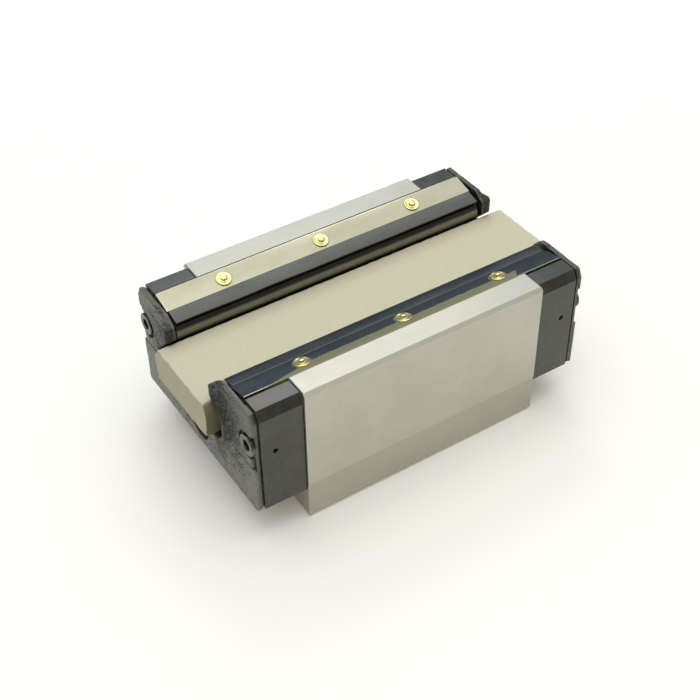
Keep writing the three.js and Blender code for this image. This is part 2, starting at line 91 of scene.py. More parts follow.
# Radii of bores, threads, liners and screw heads.
RETURN_BORE = 4.75
TUBE_RADIUS = 4.6
END_BORE = 2.7
END_THREAD = 2.6
STRIP_BORE = 1.6
STRIP_THREAD = 1.35
GREASE_BORE = 3.1
PORT_BORE = 6.2
SEAL_PORT_BORE = 6.6
HEAD_RADIUS = 4.3
HEAD_POCKET = 5.5

ROLLER_RADIUS = 2.7
ROLLER_HALF_LENGTH = 2.15
ROLLER_PITCH = 7.2
ROWS = {
    "tip": {"race": (21.2, 49.9), "back": (34.2, 51.4), "tilt": -math.pi / 4},
    "web": {"race": (23.5, 33.5), "back": (35.0, 33.5), "tilt": math.pi / 4},
}

# The rail opening, from the inner leg tip to the middle of the channel: end caps, then end seals.
CAP_OPENING = [
    (23.4, 56.3, 0.1), (20.8, 53.7, 0), (17.3, 49.3, 0.1), (22.9, 43.7), (22.9, 36.8), (19.7, 33.6),
    (0, 33.6, 0),
]
SEAL_OPENING = [
    (15.7, 55.9, 0.9), (15.7, 50.9, 1.2), (22.7, 43.9, 1.5), (22.7, 36.7, 1.5), (19.5, 33.5, 1.5),
    (0, 33.5, 0),
]


# ---- outlines
def both_sides(half):
    """The whole outline of a section that runs from y = 0 round the +Y side back to y = 0."""
    mirrored = [(-point[0], *point[1:]) for point in reversed(half) if point[0] != 0]
    return [*half, *mirrored]


def anticlockwise(points):
    area = sum(points[i - 1][0] * here[1] - points[i - 1][1] * here[0] for i, here in enumerate(points))
    return points if area > 0 else points[::-1]


def section(points, radius, shrink=0.0, steps=3):
    """An outline moved inwards by shrink, with rounded corners. A point's third number is its own radius."""
    points = anticlockwise(points)
    spots = [Vector(point[:2]) for point in points]
    ways = [(spots[(i + 1) % len(spots)] - spot).normalized() for i, spot in enumerate(spots)]
    corners = []
    for i, spot in enumerate(spots):
        a, b = ways[i - 1], ways[i]
        corner = Vector((-a.y - b.y, a.x + b.x))
        corners.append(spot + corner * (2 * shrink / max(corner.length_squared, 0.5)))
    outline = []
    for i, here in enumerate(corners):
        wanted = points[i][2] if len(points[i]) > 2 else radius
        turn = ways[i - 1].angle_signed(ways[i])
        if wanted <= 0 or abs(turn) < 0.02:
            outline.append(here)
            continue
        bow = max(0.03, wanted + (shrink if turn > 0 else -shrink))
        before = corners[i - 1] - here
        after = corners[(i + 1) % len(corners)] - here
        reach = min(bow * math.tan(abs(turn) / 2), 0.45 * before.length, 0.45 * after.length)
        start = here + before.normalized() * reach
        end = here + after.normalized() * reach
        for k in range(steps + 1):
            t = k / steps
            outline.append(start * (1 - t) ** 2 + here * 2 * t * (1 - t) + end * t ** 2)
    return outline


# ---- meshes
def to_object(name, mesh):
    """Turns a bmesh in millimetres into an object in metres."""
    bmesh.ops.recalc_face_normals(mesh, faces=mesh.faces)
    bmesh.ops.scale(mesh, vec=(MM, MM, MM), verts=mesh.verts)
    data = bpy.data.meshes.new(name)
    mesh.to_mesh(data)
    mesh.free()
    made = bpy.data.objects.new(name, data)
    bpy.context.scene.collection.objects.link(made)
    return made


def loft(name, rings, looped=False):
    """A closed solid through rings of points. A looped loft joins its last ring to its first."""
    mesh = bmesh.new()
    add_loft(mesh, rings, looped)
    return to_object(name, mesh)


def add_loft(mesh, rings, looped=False, material=0):
    verts = [[mesh.verts.new(point) for point in ring] for ring in rings]
    faces = []
    for i in range(len(verts) if looped else len(verts) - 1):
        here, after = verts[i], verts[(i + 1) % len(verts)]
        for k in range(len(here)):
            m = (k + 1) % len(here)
            faces.append(mesh.faces.new((here[k], here[m], after[m], after[k])))
    if not looped:
        faces.append(mesh.faces.new(verts[0]))
        faces.append(mesh.faces.new(verts[-1]))
    for face in faces:
        face.material_index = material


def along_x(name, points, stations, radius=0.0, steps=3):
    """An outline of (y, z) points along X. A station is a place and how far the outline is inset there."""
    outlines = [(x, section(points, radius, shrink, steps)) for x, shrink in stations]
    return loft(name, [[(x, *spot) for spot in outline] for x, outline in outlines])


def along_y(name, outline, half_depth):
    """An outline of (x, z) points, through the whole width."""
    return loft(name, [[(x, y, z) for x, z in outline] for y in (-half_depth, half_depth)])


def rounded_ends(low, high, radius, steps=3):
    """Stations of a bar along X with rounded end edges."""
    bend = [
        (radius * (1 - math.sin(k / steps * math.pi / 2)), radius * (1 - math.cos(k / steps * math.pi / 2)))
        for k in range(steps + 1)
    ]
    start = [(low + away, shrink) for away, shrink in reversed(bend)]
    end = [(high - away, shrink) for away, shrink in bend]
    return start + end


def add_lathe(mesh, profile, centre, axis=(1, 0, 0), segments=32, material=0):
    """A turned solid. The profile is (radius, distance along the axis) points from axis to axis."""
    direction = Vector(axis).normalized()
    turn = Vector((0, 0, 1)).rotation_difference(direction)
    rings = []
    for radius, along in profile:
        count = 1 if radius == 0 else segments
        ring = []
        for k in range(count):
            angle = 2 * math.pi * k / segments
            place = Vector((radius * math.cos(angle), radius * math.sin(angle), along))
            ring.append(mesh.verts.new(turn @ place + Vector(centre)))
        rings.append(ring)
    for here, after in zip(rings, rings[1:]):
        for k in range(segments):
            m = (k + 1) % segments
            ends = ((here, k), (here, m), (after, m), (after, k))
            corners = list(dict.fromkeys(ring[i % len(ring)] for ring, i in ends))
            if len(corners) > 2:
                mesh.faces.new(corners).material_index = material


def lathe(name, profile, centre, axis=(1, 0, 0), segments=32):
    mesh = bmesh.new()
    add_lathe(mesh, profile, centre, axis, segments)
    return to_object(name, mesh)


def drum(radius, low, high, centre, axis, segments):
    """A plain round tool along an axis."""
    return lathe("tool", [(0, low), (radius, low), (radius, high), (0, high)], centre, axis, segments)


def rod(radius, low, high, y, z, segments=48):
    """A plain round tool along X."""
    return drum(radius, low, high, (0, y, z), (1, 0, 0), segments)


def block(low, high):
    """A square-edged tool."""
    outline = [(low[1], low[2]), (high[1], low[2]), (high[1], high[2]), (low[1], high[2])]
    return along_x("tool", outline, [(low[0], 0), (high[0], 0)])


# ---- work on finished meshes
def bake(piece):
    """Applies the modifiers of a piece."""
    graph = bpy.context.evaluated_depsgraph_get()
    shape = bpy.data.meshes.new_from_object(piece.evaluated_get(graph))
    old = piece.data
    piece.modifiers.clear()
    piece.data = shape
    bpy.data.meshes.remove(old)


def combine(target, tool, operation="DIFFERENCE"):
    """Cuts the tool out of the target, or joins or intersects them, and removes the tool."""
    modifier = target.modifiers.new("combine", "BOOLEAN")
    modifier.operation = operation
    modifier.solver = "EXACT"
    modifier.object = tool
    bake(target)
    bpy.data.objects.remove(tool)
    return target


def clean(piece):
    """Merges doubled points and takes out edges without length."""
    mesh = bmesh.new()
    mesh.from_mesh(piece.data)
    bmesh.ops.remove_doubles(mesh, verts=mesh.verts, dist=0.002 * MM)
    bmesh.ops.dissolve_degenerate(mesh, dist=0.004 * MM, edges=mesh.edges)
    mesh.to_mesh(piece.data)
    mesh.free()


def soften(piece, width, segments=2, angle=38):
    """Rounds the edges that are sharper than the angle."""
    clean(piece)
    modifier = piece.modifiers.new("soften", "BEVEL")
    modifier.width = width * MM
    modifier.segments = segments
    modifier.limit_method = "ANGLE"
    modifier.angle_limit = math.radians(angle)
    modifier.use_clamp_overlap = False
    modifier.miter_outer = "MITER_ARC"
    bake(piece)


def smooth(piece, angle=34):
    """Smooth shading that keeps flat faces flat and sharp edges sharp."""
    piece.data.polygons.foreach_set("use_smooth", [True] * len(piece.data.polygons))
    piece.data.set_sharp_from_angle(angle=math.radians(angle))
    modifier = piece.modifiers.new("weights", "WEIGHTED_NORMAL")
    modifier.keep_sharp = True
    bake(piece)


def cut_faces(piece, cuts):
    """Cuts the faces, without opening the solid. A cut is an axis and a place along it, in metres."""
    mesh = bmesh.new()
    mesh.from_mesh(piece.data)
    for axis, place in cuts:
        spot, normal = [0, 0, 0], [0, 0, 0]
        spot[axis] = place
        normal[axis] = 1
        everything = [*mesh.verts, *mesh.edges, *mesh.faces]
        bmesh.ops.bisect_plane(mesh, geom=everything, plane_co=spot, plane_no=normal, dist=1e-6)
    mesh.to_mesh(piece.data)
    mesh.free()


def slice_up(piece, spacing, axes):
    """Cuts the faces into a grid with this spacing, so that the surface can be bent."""
    cuts = []
    for axis in axes:
        values = [vert.co[axis] for vert in piece.data.vertices]
        low, high = min(values), max(values)
        count = int((high - low) / (spacing * MM))
        cuts += [(axis, low + (high - low) * k / count) for k in range(1, count)]
    cut_faces(piece, cuts)


def bend(piece, shift):
    """Moves each point by shift(point), both in millimetres."""
    for vert in piece.data.vertices:
        vert.co += Vector(shift(vert.co / MM)) * MM


def mirror(piece, side=1, end=1):
    """Mirrors a piece made for the rear end and the left leg."""
    piece.data.transform(Matrix.Diagonal((end, side, 1, 1)))
    if side * end < 0:
        piece.data.flip_normals()
    return piece


def settle(piece, node, *materials, body="carriage", angle=34):
    """Names a piece after the CAD node it stands for, and gives it its body, shading and materials."""
    smooth(piece, angle)
    piece.name = node + "_shape"
    piece.data.name = piece.name
    piece.data.materials.clear()
    for material in materials:
        piece.data.materials.append(material)
    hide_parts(node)
    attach(piece, body)
    return piece


# ---- material nodes
class Surface:
    """A procedural material. Its methods add shader nodes and give back their output sockets."""

    def __init__(self, name):
        self.material = bpy.data.materials.new(name)
        self.material.use_nodes = True
        self.tree = self.material.node_tree
        self.shader = self.tree.nodes["Principled BSDF"]
        self.spot = self.add("ShaderNodeTexCoord").outputs["Object"]

    def add(self, kind, inputs=None, **settings):
        made = self.tree.nodes.new(kind)
        for name, value in settings.items():
            setattr(made, name, value)
        for name, value in (inputs or {}).items():
            self.feed(made.inputs[name], value)
        return made

    def feed(self, socket, value):
        if isinstance(value, bpy.types.NodeSocket):
            self.tree.links.new(value, socket)
        elif socket.type == "RGBA" and len(value) == 3:
            socket.default_value = (*value, 1)
        else:
            socket.default_value = value

    def set(self, **inputs):
        """Feeds the shader's inputs. An underscore in a name stands for a space."""
        for name, value in inputs.items():
            self.feed(self.shader.inputs[name.replace("_", " ")], value)

    def place(self, stretch=(1, 1, 1)):
        """Object coordinates in millimetres, stretched."""
        scale = tuple(value / MM for value in stretch)
        return self.add("ShaderNodeVectorMath", {0: self.spot, 1: scale}, operation="MULTIPLY").outputs[0]

    def noise(self, scale, detail=3, roughness=0.55, stretch=(1, 1, 1), distortion=0):
        inputs = {
            "Vector": self.place(stretch), "Scale": scale, "Detail": detail,
            "Roughness": roughness, "Distortion": distortion,
        }
        return self.add("ShaderNodeTexNoise", inputs).outputs["Fac"]

    def cells(self, scale, stretch=(1, 1, 1), feature="F1"):
        inputs = {"Vector": self.place(stretch), "Scale": scale}
        return self.add("ShaderNodeTexVoronoi", inputs, feature=feature).outputs["Distance"]

    def axis(self, name):
        """One object coordinate, in millimetres."""
        return self.add("ShaderNodeSeparateXYZ", {0: self.place()}).outputs[name]

    def remap(self, value, low, high, to_low=0.0, to_high=1.0):
        inputs = {"Value": value, "From Min": low, "From Max": high, "To Min": to_low, "To Max": to_high}
        return self.add("ShaderNodeMapRange", inputs).outputs["Result"]

    def calc(self, operation, a, b=0.0):
        return self.add("ShaderNodeMath", {0: a, 1: b}, operation=operation).outputs[0]

    def plus(self, a, b):
        return self.calc("ADD", a, b)

    def times(self, a, b):
        return self.calc("MULTIPLY", a, b)

    def mix(self, factor, a, b, strength=1):
        """A colour between a and b."""
        if strength != 1:
            factor = self.times(factor, strength)
        made = self.add("ShaderNodeMix", data_type="RGBA")
        for name, value in (("Factor_Float", factor), ("A_Color", a), ("B_Color", b)):
            self.feed(next(socket for socket in made.inputs if socket.identifier == name), value)
        return next(socket for socket in made.outputs if socket.identifier == "Result_Color")

    def bump(self, height, distance, strength=1.0, normal=None):
        """A normal that follows a height of 0 to 1, which stands for a distance in millimetres."""
        inputs = {"Height": height, "Distance": distance * MM, "Strength": strength}
        if normal is not None:
            inputs["Normal"] = normal
        return self.add("ShaderNodeBump", inputs).outputs["Normal"]

    def worn_edge(self, radius, low=0.02, high=0.25):
        """1 close to edges and 0 on flat faces."""
        soft = self.add("ShaderNodeBevel", {"Radius": radius * MM}, samples=4).outputs["Normal"]
        true = self.add("ShaderNodeNewGeometry").outputs["Normal"]
        turn = self.add("ShaderNodeVectorMath", {0: soft, 1: true}, operation="DOT_PRODUCT")
        return self.remap(turn.outputs["Value"], 1 - low, 1 - high)

    def facing(self, name):
        """How far the surface faces along an axis, from -1 to 1."""
        true = self.add("ShaderNodeNewGeometry").outputs["Normal"]
        return self.add("ShaderNodeSeparateXYZ", {0: true}).outputs[name]

    def attribute(self, name):
        return self.add("ShaderNodeAttribute", attribute_name=name).outputs["Fac"]


def ground_steel():
    """Bearing steel with grinding lines along the travel axis, smudges and bright worn edges."""
    s = Surface("ground_steel")
    lines = s.noise(3.0, 3, 0.7, (0.012, 1, 1))
    fine = s.noise(11.0, 2, 0.6, (0.02, 1, 1))
    smudge = s.noise(0.06, 5, 0.6)
    speck = s.remap(s.cells(0.9), 0.05, 0.11, 1, 0)
    edge = s.worn_edge(0.5)
    tone = s.mix(s.remap(smudge, 0.35, 0.7), (0.49, 0.478, 0.40), (0.57, 0.558, 0.485))
    tone = s.mix(s.remap(lines, 0.3, 0.75, 0, 0.35), tone, (0.40, 0.385, 0.32))
    tone = s.mix(s.times(speck, s.remap(smudge, 0.5, 0.7, 0, 0.5)), tone, (0.22, 0.21, 0.18))
    unground = s.remap(s.axis("Z"), GROUND_EDGE, GROUND_EDGE - GROUND_STEP)
    tone = s.mix(unground, tone, (0.37, 0.37, 0.30), 0.45)
    tone = s.mix(edge, tone, (0.74, 0.73, 0.68), 0.35)
    slope = s.times(s.calc("ABSOLUTE", s.facing("Y")), s.facing("Z"))
    chamfer = s.remap(slope, 0.35, 0.48)
    tone = s.mix(chamfer, tone, (0.60, 0.585, 0.50), 0.8)
    rough = s.plus(s.remap(smudge, 0.3, 0.75, 0.36, 0.47), s.remap(fine, 0.3, 0.7, -0.04, 0.05))
    rough = s.plus(rough, s.times(chamfer, 0.15))
    height = s.plus(s.times(lines, 0.6), s.times(fine, 0.4))
    metal = s.remap(chamfer, 0, 1, 0.92, 0.55)
    s.set(Base_Color=tone, Metallic=metal, Roughness=rough, Normal=s.bump(height, 0.012, 0.6))
    return s.material


def moulded_plastic(name, base, light, rough_low, rough_high):
    """Grained moulding with a dull film of handling marks and rubbed edges."""
    s = Surface(name)
    grain = s.noise(7.0, 3, 0.6)
    film = s.noise(0.09, 5, 0.62)
    streak = s.noise(0.5, 4, 0.6, (0.15, 1, 0.4))
    edge = s.worn_edge(0.5)
    tone = s.mix(s.remap(film, 0.35, 0.75), base, light)
    rubbed = s.times(edge, s.remap(streak, 0.35, 0.7, 0.1, 0.6))
    tone = s.mix(rubbed, tone, [2.2 * v for v in light])
    rough = s.remap(film, 0.3, 0.75, rough_low, rough_high)
    rough = s.plus(rough, s.remap(grain, 0.3, 0.7, -0.04, 0.04))
    height = s.plus(s.times(grain, 0.5), s.times(streak, 0.5))
    s.set(Base_Color=tone, Roughness=rough, IOR=1.55, Normal=s.bump(height, 0.014, 0.4))
    return s.material


def greased_bar():
    """Glossy resin with a tan film of grease between its two edges. Above the middle, under the lip, the
    colour is painted shade, near black, and the lower edge is painted near black too.
    """
    s = Surface("greased_bar")
    film = s.noise(0.35, 5, 0.65, (0.25, 1, 1))
    drop = s.noise(1.4, 4, 0.6, (0.6, 1, 1))
    z = s.axis("Z")
    middle = s.times(s.remap(z, 50.0, 51.0), s.remap(z, 53.4, 52.4))
    tone = s.mix(s.remap(film, 0.35, 0.7), (0.085, 0.076, 0.046), (0.155, 0.138, 0.082))
    tone = s.mix(s.remap(drop, 0.55, 0.72, 0, 0.5), tone, (0.20, 0.17, 0.08))
    # Painted shade: near black above z 53.4, under the lip, and the lower edge below z 50 is painted near
    # black too.
    tone = s.mix(middle, (0.010, 0.010, 0.008), tone)
    rough = s.plus(s.remap(film, 0.3, 0.7, 0.16, 0.28), s.remap(middle, 0, 1, 0.12, 0))
    s.set(Base_Color=tone, Roughness=rough, IOR=s.remap(middle, 0, 1, 1.4, 2.1))
    s.set(Normal=s.bump(s.plus(film, s.times(drop, 0.4)), 0.05, 0.5))
    return s.material


def dusty_rubber():
    """Seal rubber: dark on the wiping edge, grey elsewhere, with dark scuffs that thin out away from it."""
    s = Surface("dusty_rubber")
    away = s.attribute("from_lip")
    blotch = s.noise(0.30, 5, 0.65, distortion=0.6)
    scuff = s.noise(1.1, 4, 0.75, distortion=0.8)
    streak = s.noise(1.6, 4, 0.65, (1, 1, 0.22))
    grain = s.noise(6.0, 3, 0.6)
    wave = s.noise(0.7, 3, 0.5, distortion=1.2)
    dust = s.mix(s.remap(streak, 0.3, 0.72), (0.080, 0.082, 0.064), (0.215, 0.220, 0.175))
    dust = s.mix(s.remap(blotch, 0.35, 0.7, 0, 0.45), dust, (0.23, 0.234, 0.19))
    dust = s.mix(s.remap(s.axis("Z"), 30, 46, 0, 0.45), dust, (0.055, 0.056, 0.044))
    patch = s.remap(s.noise(0.16, 3, 0.6, distortion=0.5), 0.35, 0.65, -0.05, 0.06)
    limit = s.plus(s.remap(away, 3, 20, 0.56, 0.39), patch)
    dark = s.remap(s.calc("SUBTRACT", limit, scuff), -0.01, 0.03)
    dust = s.mix(dark, dust, (0.012, 0.013, 0.011), 0.95)
    dust = s.mix(s.times(s.worn_edge(0.4), 0.3), dust, (0.20, 0.205, 0.19))
    clean = s.remap(s.plus(away, s.remap(wave, 0.3, 0.7, -0.6, 0.6)), 0.9, 2.2)
    tone = s.mix(clean, (0.020, 0.021, 0.020), dust)
    rough = s.plus(s.remap(clean, 0, 1, 0.30, 0.44), s.remap(streak, 0.3, 0.7, -0.08, 0.1))
    rough = s.plus(rough, s.times(dark, 0.2))
    height = s.plus(s.times(streak, 0.35), s.times(grain, 0.10))
    height = s.plus(height, s.times(s.plus(wave, scuff), 0.4))
    s.set(Base_Color=tone, Roughness=rough, IOR=1.52, Normal=s.bump(height, 0.22, 0.7))
    return s.material


def lip_rubber():
    """Smooth extruded rubber with a satin bloom and small marks."""
    s = Surface("lip_rubber")
    bloom = s.noise(0.12, 5, 0.6, (0.3, 1, 1))
    grain = s.noise(8.0, 2, 0.6, (0.2, 1, 1))
    mark = s.remap(s.cells(0.16, (0.6, 1, 1)), 0.03, 0.06, 1, 0)
    tone = s.mix(s.remap(bloom, 0.35, 0.7), (0.036, 0.043, 0.038), (0.064, 0.073, 0.066))
    tone = s.mix(mark, tone, (0.008, 0.008, 0.008), 0.6)
    free = s.remap(s.calc("ABSOLUTE", s.axis("Y")), LIP.y - 1, LIP_LOW.y)
    tone = s.mix(free, tone, (0.012, 0.013, 0.014), 0.6)
    rough = s.plus(s.remap(bloom, 0.3, 0.7, 0.24, 0.36), s.remap(grain, 0.3, 0.7, -0.04, 0.04))
    rough = s.calc("SUBTRACT", rough, s.times(free, 0.06))
    s.set(Base_Color=tone, Roughness=rough, IOR=1.7, Normal=s.bump(grain, 0.012, 0.4))
    return s.material


def rolled_strip():
    """Thin yellowish strip, smooth enough to mirror its surroundings. On the right strip a painted
    reflection, a darker and duller olive patch, covers the outer half and the ground round its screws, up to
    a little past the rear one."""
    s = Surface("rolled_strip")
    lines = s.noise(2.2, 3, 0.6, (0.015, 1, 1))
    film = s.noise(0.1, 4, 0.6, (0.4, 1, 1))
    tone = s.mix(s.remap(film, 0.35, 0.7), (0.42, 0.412, 0.30), (0.465, 0.458, 0.355))
    tone = s.mix(s.remap(lines, 0.35, 0.75, 0, 0.25), tone, (0.36, 0.35, 0.24))
    x, y = s.axis("X"), s.axis("Y")
    across = s.calc("SUBTRACT", s.calc("ABSOLUTE", y), STRIP_LOW.y)
    ragged = s.remap(s.noise(0.5, 4, 0.6, (0.4, 1, 1)), 0.3, 0.7, -0.25, 0.25)
    inner_edge = s.plus(s.remap(x, -60, -38, 9.2, 5.0), ragged)
    # Painted reflection: a darker, duller olive patch on the right strip, over its outer half and round its
    # screws.
    painted_reflection = s.remap(s.calc("SUBTRACT", across, inner_edge), -0.15, 0.15)
    screw_line = STRIP_SCREW_Y - STRIP_LOW.y
    for place in (-STRIP_SCREW_PITCH, 0, STRIP_SCREW_PITCH):
        along = s.calc("POWER", s.calc("ABSOLUTE", s.calc("SUBTRACT", x, place)), 2)
        off = s.calc("POWER", s.calc("ABSOLUTE", s.calc("SUBTRACT", across, screw_line)), 2)
        away = s.plus(s.calc("SQRT", s.plus(along, off)), ragged)
        painted_reflection = s.calc("MAXIMUM", painted_reflection, s.remap(away, 3.6, 3.4))
    slant = s.plus(s.plus(x, s.times(across, 0.6)), ragged)
    painted_reflection = s.times(painted_reflection, s.remap(slant, 52.5, 52))
    painted_reflection = s.times(painted_reflection, s.remap(y, 0.1, -0.1))
    # The patch paints the reflection into the colour, and makes the strip rougher and less metallic there.
    tone = s.mix(painted_reflection, tone, (0.21, 0.205, 0.105), 0.85)
    rough = s.plus(s.remap(film, 0.3, 0.7, 0.15, 0.22), s.remap(lines, 0.3, 0.7, -0.02, 0.03))
    rough = s.plus(rough, s.times(painted_reflection, 0.2))
    metal = s.remap(painted_reflection, 0, 1, 0.95, 0.25)
    s.set(Base_Color=tone, Metallic=metal, Roughness=rough, Normal=s.bump(lines, 0.006, 0.5))
    return s.material


def plain_metal(name, dark, light, rough, metallic=0.9, grain_scale=6.0):
    """Turned, stamped or sheet metal with fine grain, film and bright edges."""
    s = Surface(name)
    grain = s.noise(grain_scale, 3, 0.6)
    film = s.noise(0.45, 4, 0.6)
    edge = s.worn_edge(0.2)
    tone = s.mix(s.remap(film, 0.35, 0.7), dark, light)
    tone = s.mix(s.times(edge, 0.35), tone, [min(1, 1.5 * v) for v in light])
    ripple = s.remap(grain, 0.3, 0.7, -0.04, 0.05)
    s.set(Base_Color=tone, Metallic=metallic, Roughness=s.plus(ripple, rough))
    s.set(Normal=s.bump(grain, 0.006, 0.5))
    return s.material


def fibre_board():
    """Pressed tan board: speckled fibres, darker rubbed edges and faint stains, with painted shade on the
    end faces and stronger painted shade on the side faces.
    """
    s = Surface("fibre_board")
    speckle = s.noise(4.5, 4, 0.7)
    fibre = s.noise(1.8, 3, 0.6, (0.5, 1, 1))
    stain = s.noise(0.05, 4, 0.6)
    edge = s.worn_edge(0.9, 0.01, 0.2)
    tone = s.mix(s.remap(speckle, 0.3, 0.7), (0.43, 0.40, 0.27), (0.80, 0.77, 0.60))
    tone = s.mix(s.remap(fibre, 0.45, 0.75, 0, 0.35), tone, (0.47, 0.43, 0.29))
    tone = s.mix(s.remap(stain, 0.4, 0.75, 0, 0.4), tone, (0.62, 0.56, 0.38))
    # Painted shade: faces towards the ends are darker, faces towards the sides much darker.
    tone = s.mix(s.remap(s.calc("ABSOLUTE", s.facing("X")), 0.4, 0.9, 0, 0.5), tone, (0.36, 0.32, 0.20))
    tone = s.mix(s.remap(s.calc("ABSOLUTE", s.facing("Y")), 0.4, 0.8, 0, 0.9), tone, (0.13, 0.11, 0.05))
    tone = s.mix(s.times(edge, s.remap(fibre, 0.3, 0.6, 0.15, 0.6)), tone, (0.36, 0.31, 0.19))
    height = s.plus(s.times(speckle, 0.7), s.times(fibre, 0.3))
    s.set(Base_Color=tone, Roughness=0.78, Normal=s.bump(height, 0.08, 0.6))
    return s.material


def pale_floor():
    """Matt white paper."""
    s = Surface("pale_floor")
    tooth = s.noise(0.8, 3, 0.6)
    tone = s.mix(s.remap(tooth, 0.3, 0.7), (0.86, 0.86, 0.85), (0.88, 0.88, 0.872))
    s.set(Base_Color=tone, Roughness=0.9, Normal=s.bump(tooth, 0.02, 0.2))
    seen = s.add("ShaderNodeLightPath").outputs["Is Camera Ray"]
    s.set(Emission_Color=(1.0, 0.87, 0.64), Emission_Strength=s.remap(seen, 0, 1, 0.17, 0.15))
    return s.material


STEEL = ground_steel()
CAP_PLASTIC = moulded_plastic("cap_plastic", (0.027, 0.027, 0.020), (0.052, 0.052, 0.040), 0.20, 0.32)
RESIN = moulded_plastic("guide_resin", (0.015, 0.015, 0.014), (0.028, 0.027, 0.024), 0.25, 0.4)
SEAL_RUBBER = dusty_rubber()
LIP_RUBBER = lip_rubber()
STRIP_METAL = rolled_strip()
BAR_RESIN = greased_bar()
SHEET = plain_metal("sheet_steel", (0.09, 0.09, 0.08), (0.17, 0.17, 0.15), 0.42)
DARK_SCREW = plain_metal("dark_screw", (0.08, 0.08, 0.072), (0.17, 0.17, 0.155), 0.30)
BRASS = plain_metal("brass", (0.78, 0.68, 0.30), (0.90, 0.81, 0.44), 0.32, 0.88)
ROLLER = plain_metal("polished_roller", (0.62, 0.61, 0.58), (0.74, 0.74, 0.72), 0.12, 1.0)
BOARD = fibre_board()


# ---- steel body
def strip_top(y):
    return STRIP.z - STRIP_SLOPE * (STRIP.y - y)


def strip_axis():
    """The strip screws stand square to the strip."""
    return Vector((0, -STRIP_SLOPE, 1)).normalized()


def screw_places():
    places = {"front": -1, "middle": 0, "rear": 1}
    return [(place * STRIP_SCREW_PITCH, name) for name, place in places.items()]


def make_body():
    seat = STRIP_THICKNESS + SEAT_GAP
    foot, tip = 1.25, 1.2
    low = BODY.y - GROUND_STEP
    outline = both_sides([
        (0, 0, 0), (low - foot, 0), (low, foot),
        (low, GROUND_EDGE - GROUND_STEP, 0), (BODY.y, GROUND_EDGE, 0),
        (BODY.y, BODY.z - tip), (BODY.y - tip, BODY.z), (STRIP.y + 0.2, BODY.z, 0.1),
        (STRIP.y + 0.2, strip_top(STRIP.y) - seat, 0.1), (24.2, strip_top(24.2) - seat), (21.06, 53.86),
        (25.16, 49.76, 0.1), (27.9, 47), (27.9, 34.1), (27.46, 33.64, 0.1), (23.36, 29.54),
        (21.4, CHANNEL_FLOOR), (0, CHANNEL_FLOOR, 0),
    ])
    body = along_x("body", outline, [(-BODY.x, 0), (BODY.x, 0)], 0.25)
    top = 0.35
    side_view = [
        (-BODY.x + tip, 0), (BODY.x - tip, 0), (BODY.x, tip), (BODY.x, BODY.z - top),
        (BODY.x - top, BODY.z), (-BODY.x + top, BODY.z), (-BODY.x, BODY.z - top), (-BODY.x, tip),
    ]
    combine(body, along_y("tool", side_view, BODY.y + 1), "INTERSECT")
    for y_sign in (-1, 1):
        for row in ROWS.values():
            y, z = row["back"]
            combine(body, rod(RETURN_BORE, -BODY.x - 1, BODY.x + 1, y_sign * y, z))
        for x, _ in screw_places():
            axis = strip_axis()
            axis.y *= y_sign
            centre = (x, y_sign * STRIP_SCREW_Y, strip_top(STRIP_SCREW_Y))
            hole = [(0, -5), (STRIP_THREAD, -4), (STRIP_THREAD, 1), (0, 1)]
            combine(body, lathe("tool", hole, centre, axis, 24))
        for x_sign in (-1, 1):
            ends = sorted((x_sign * (BODY.x - 15), x_sign * (BODY.x + 1)))
            combine(body, rod(END_THREAD, *ends, y_sign * END_SCREW_Y, END_SCREW_Z, 32))
            place = (x_sign * MOUNT_PITCH / 2, y_sign * MOUNT_PITCH / 2, 0)
            combine(body, lathe("tool", threaded_hole(), place, (0, 0, 1), 40))
    soften(body, 0.12)
    settle(body, "carriage_body", STEEL)


def threaded_hole():
    """Profile of a blind threaded hole with a chamfered mouth and a drill point."""
    minor, major, pitch, depth = 4.25, 5.0, 1.5, 15.0
    profile = [(0, -1), (major + 1.3, -1), (major + 0.3, 0.3), (minor, 1.0)]
    z = 1.0
    while z + pitch < depth:
        profile += [(minor, z + 0.2), (major, z + 0.72), (major, z + 0.9), (minor, z + 1.42)]
        z += pitch
    return profile + [(minor, depth + 2), (0, depth + 4.4)]


# ---- leg-tip strips, lips and screws
def make_strip(side_name, side):
    """A thin crowned strip. The crown fades at both ends, where the end screws hold it flat."""
    outline = [
        (STRIP.y, strip_top(STRIP.y), 0.3), (STRIP_LOW.y, strip_top(STRIP_LOW.y), 0.1),
        (STRIP_LOW.y, strip_top(STRIP_LOW.y) - STRIP_THICKNESS, 0.1),
        (STRIP.y, strip_top(STRIP.y) - STRIP_THICKNESS, 0.1),
    ]
    strip = along_x("strip", outline, rounded_ends(-STRIP.x, STRIP.x, 0.1, 2), 0.2, 4)
    for x, _ in screw_places():
        centre = (x, STRIP_SCREW_Y, strip_top(STRIP_SCREW_Y))
        combine(strip, drum(STRIP_BORE, -4, 1, centre, strip_axis(), 24))
    slice_up(strip, 1.6, (0,))
    slice_up(strip, 0.75, (1,))

    def crown(point):
        across = (point.y - STRIP_LOW.y) / (STRIP.y - STRIP_LOW.y)
        fade = 1 - min(1, max(0, (abs(point.x) - 40) / 22)) ** 2
        return (0, 0, STRIP_CROWN * 4 * across * (1 - across) * fade)

    bend(strip, crown)
    settle(mirror(strip, side), f"retainer_strip_{side_name}", STRIP_METAL)


